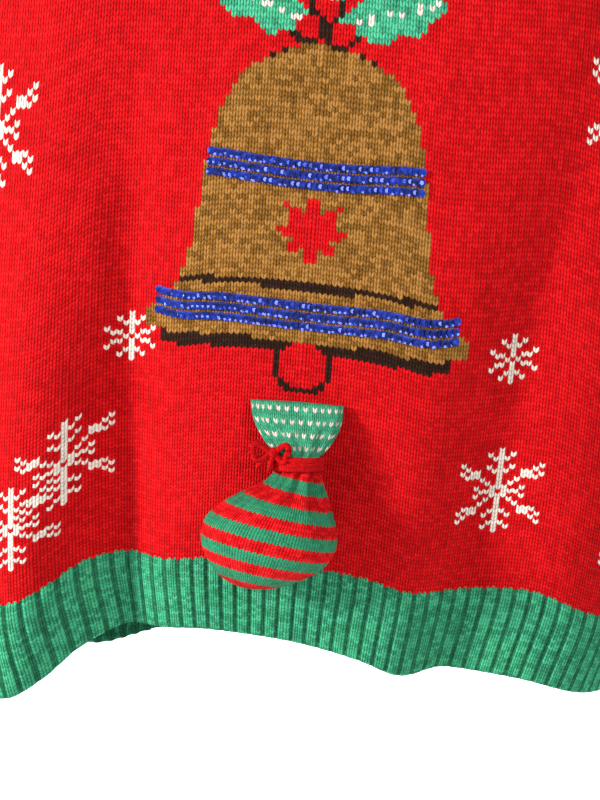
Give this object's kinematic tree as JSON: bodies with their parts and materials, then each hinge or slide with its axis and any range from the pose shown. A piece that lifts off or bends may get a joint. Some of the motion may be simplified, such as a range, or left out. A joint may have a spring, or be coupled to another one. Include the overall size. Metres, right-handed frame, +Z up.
{
  "type": "knitted sweater vest",
  "caption": "Sleeveless V-neck knitted vest hanging filled out and hollow, with ribbed hem, neckband and armhole bands, two sequin bands and a stuffed ornament on its front.",
  "frame": {"origin": "midway between the neck ends of the two shoulder seams, at their level, where whatever wears it holds it up", "axes": "+Z up along the vest's length, +X towards the wearer's left, -Y out of the front"},
  "size_m": [0.469, 0.1841, 0.6793],
  "materials": {
    "red_knit": "matte",
    "green_rib": "matte",
    "striped_knit": "matte",
    "blue_sequins": "glossy"
  },
  "bodies": {
    "root": {"front_panel": "red_knit", "back_panel": "red_knit", "hem_front": "green_rib", "hem_back": "green_rib", "neckband": "green_rib", "armhole_band_left": "green_rib", "armhole_band_right": "green_rib", "sequin_band_upper": "blue_sequins", "sequin_band_rim": "blue_sequins", "ornament_cuff": "green_rib", "ornament_tie": "red_knit", "ornament_ball": "striped_knit"}
  },
  "joints": []
}
